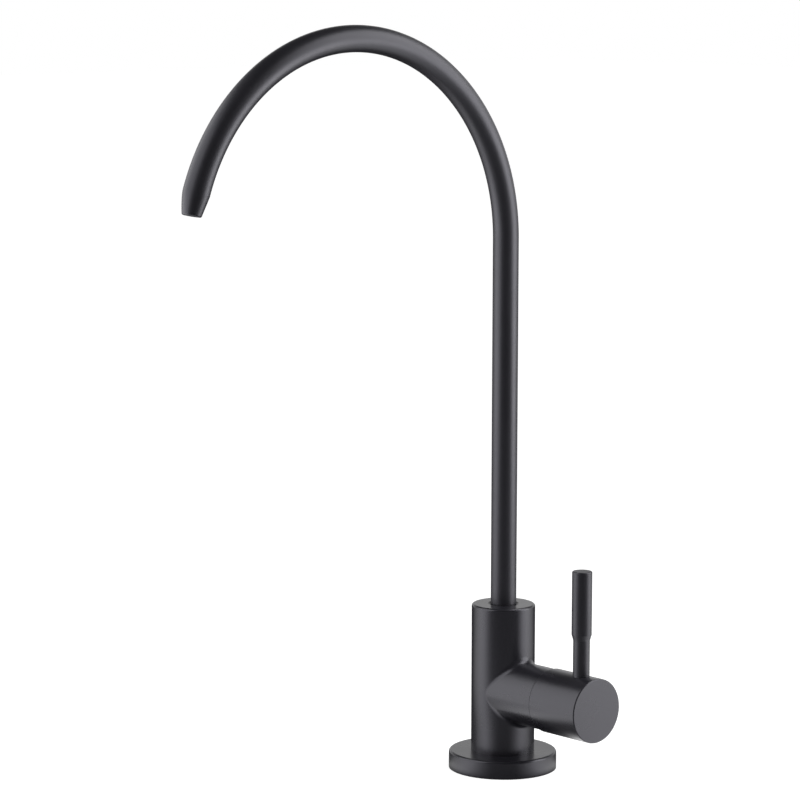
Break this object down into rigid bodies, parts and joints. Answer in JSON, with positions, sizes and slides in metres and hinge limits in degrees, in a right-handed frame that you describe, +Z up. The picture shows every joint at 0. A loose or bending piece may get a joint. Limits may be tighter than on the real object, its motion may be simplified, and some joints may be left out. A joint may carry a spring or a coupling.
{
  "type": "faucet",
  "caption": "Deck-mounted gooseneck drinking-water faucet with a swivelling spout and a quarter-turn side lever valve, matte black.",
  "frame": {"origin": "centre of the base flange's underside, on the deck's surface", "axes": "+Z up along the body and the straight pipe; the spout reaches towards -Y; the valve's axis and its handle lie along +X"},
  "size_m": [0.0734, 0.1814, 0.3607],
  "materials": {
    "black_coat": "fine matte black powder coat on stainless steel",
    "black_steel": "black oxide",
    "brass": "turned, unplated",
    "rubber": "matt moulded",
    "white_plastic": "moulded acetal",
    "ceramic": "lapped alumina",
    "stainless": "turned and brushed"
  },
  "bodies": {
    "root": {"body": "black_coat", "base_flange": "black_coat", "spout_lock_screw": "black_steel", "cartridge_nut": "brass", "mounting_nut": "brass", "cartridge_housing": "brass", "housing_o_ring": "rubber", "seat_seal": "rubber", "base_gasket": "rubber", "shank_seal": "rubber", "rubber_washer": "rubber", "inlet_face_washer": "rubber", "inlet_o_ring": "rubber", "spout_thrust_ring": "white_plastic", "inlet_connector": "white_plastic", "inlet_retainer": "white_plastic", "inlet_collet": "white_plastic", "ceramic_disc_fixed": "ceramic", "threaded_shank": "stainless", "steel_washer": "stainless", "lock_washer": "stainless"},
    "spout": {"spout_tube": "black_coat", "spout_spigot": "brass", "spout_o_rings": "rubber"},
    "handle": {"handle_hub": "black_coat", "handle_set_screw": "black_steel", "lever": "black_coat", "cartridge_stem": "brass", "stem_o_rings": "rubber", "stem_clip": "stainless", "ceramic_disc_moving": "ceramic"}
  },
  "joints": [
    {"name": "spout_swivel", "type": "hinge", "parent": "root", "child": "spout", "pos_m": [0, 0, 0.0661], "axis": [0, 0, 1], "continuous": true},
    {"name": "handle_turn", "type": "hinge", "parent": "root", "child": "handle", "pos_m": [0.02745, 0, 0.0317], "axis": [1, 0, 0], "range_deg": [0, 90]}
  ]
}
